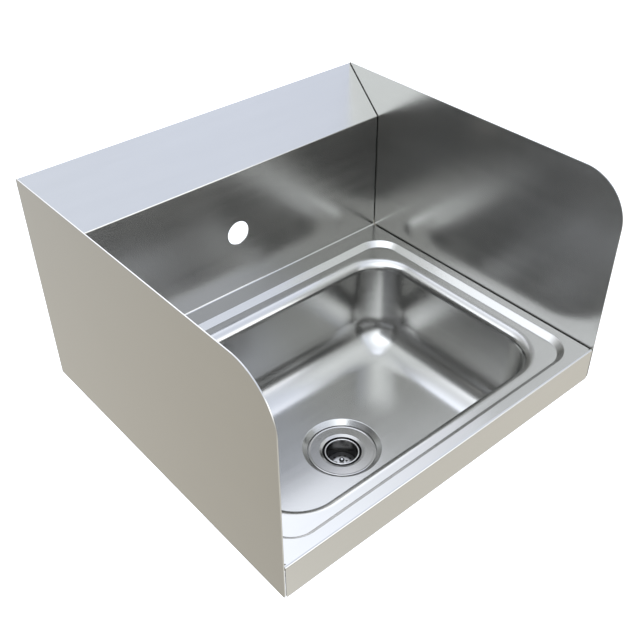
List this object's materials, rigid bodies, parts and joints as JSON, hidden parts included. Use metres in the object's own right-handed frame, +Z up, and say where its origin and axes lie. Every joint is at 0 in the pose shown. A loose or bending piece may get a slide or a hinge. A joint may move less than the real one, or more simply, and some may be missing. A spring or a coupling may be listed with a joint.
{
  "type": "hand wash sink",
  "caption": "Wall-hung stainless steel hand wash sink with a pressed bowl, drip step, sloped backsplash with a tap hole, high side splashes and a basket drain with a tailpiece.",
  "frame": {"origin": "on the wall plane, at the middle of the wall bracket's row of fixing slots", "axes": "+X to the right seen from the front, +Y from the sink towards the wall, +Z up"},
  "size_m": [0.432, 0.3944, 0.4893],
  "materials": {
    "stainless": "satin brushed stainless steel sheet",
    "drain_steel": "turned and polished stainless steel",
    "zinc_plate": "dull zinc plate",
    "rubber": "matte black rubber",
    "fibre": "pressed vulcanised fibre",
    "chrome_plate": "bright chrome plate"
  },
  "bodies": {
    "bracket": {"wall_bracket": "zinc_plate"},
    "sink": {"deck": "stainless", "bowl": "stainless", "backsplash": "stainless", "left_side_splash": "stainless", "right_side_splash": "stainless", "splash_studs": "zinc_plate", "splash_spacers": "zinc_plate", "splash_washers": "zinc_plate", "splash_nuts": "zinc_plate", "drain_body": "drain_steel", "flange_gasket": "rubber", "rubber_washer": "rubber", "fibre_washer": "fibre", "lock_nut": "zinc_plate", "tailpiece_washer": "rubber", "tailpiece": "chrome_plate", "coupling_nut": "chrome_plate"},
    "basket": {"basket_cup": "drain_steel", "basket_seal": "rubber", "basket_post": "drain_steel", "basket_knob": "drain_steel", "basket_nut": "drain_steel"}
  },
  "joints": [
    {"name": "sink_lift", "type": "slide", "parent": "bracket", "child": "sink", "axis": [0, 0, 1], "range_m": [0, 0.026]},
    {"name": "basket_lift", "type": "slide", "parent": "sink", "child": "basket", "axis": [0, 0, 1], "range_m": [0, 0.18]}
  ]
}
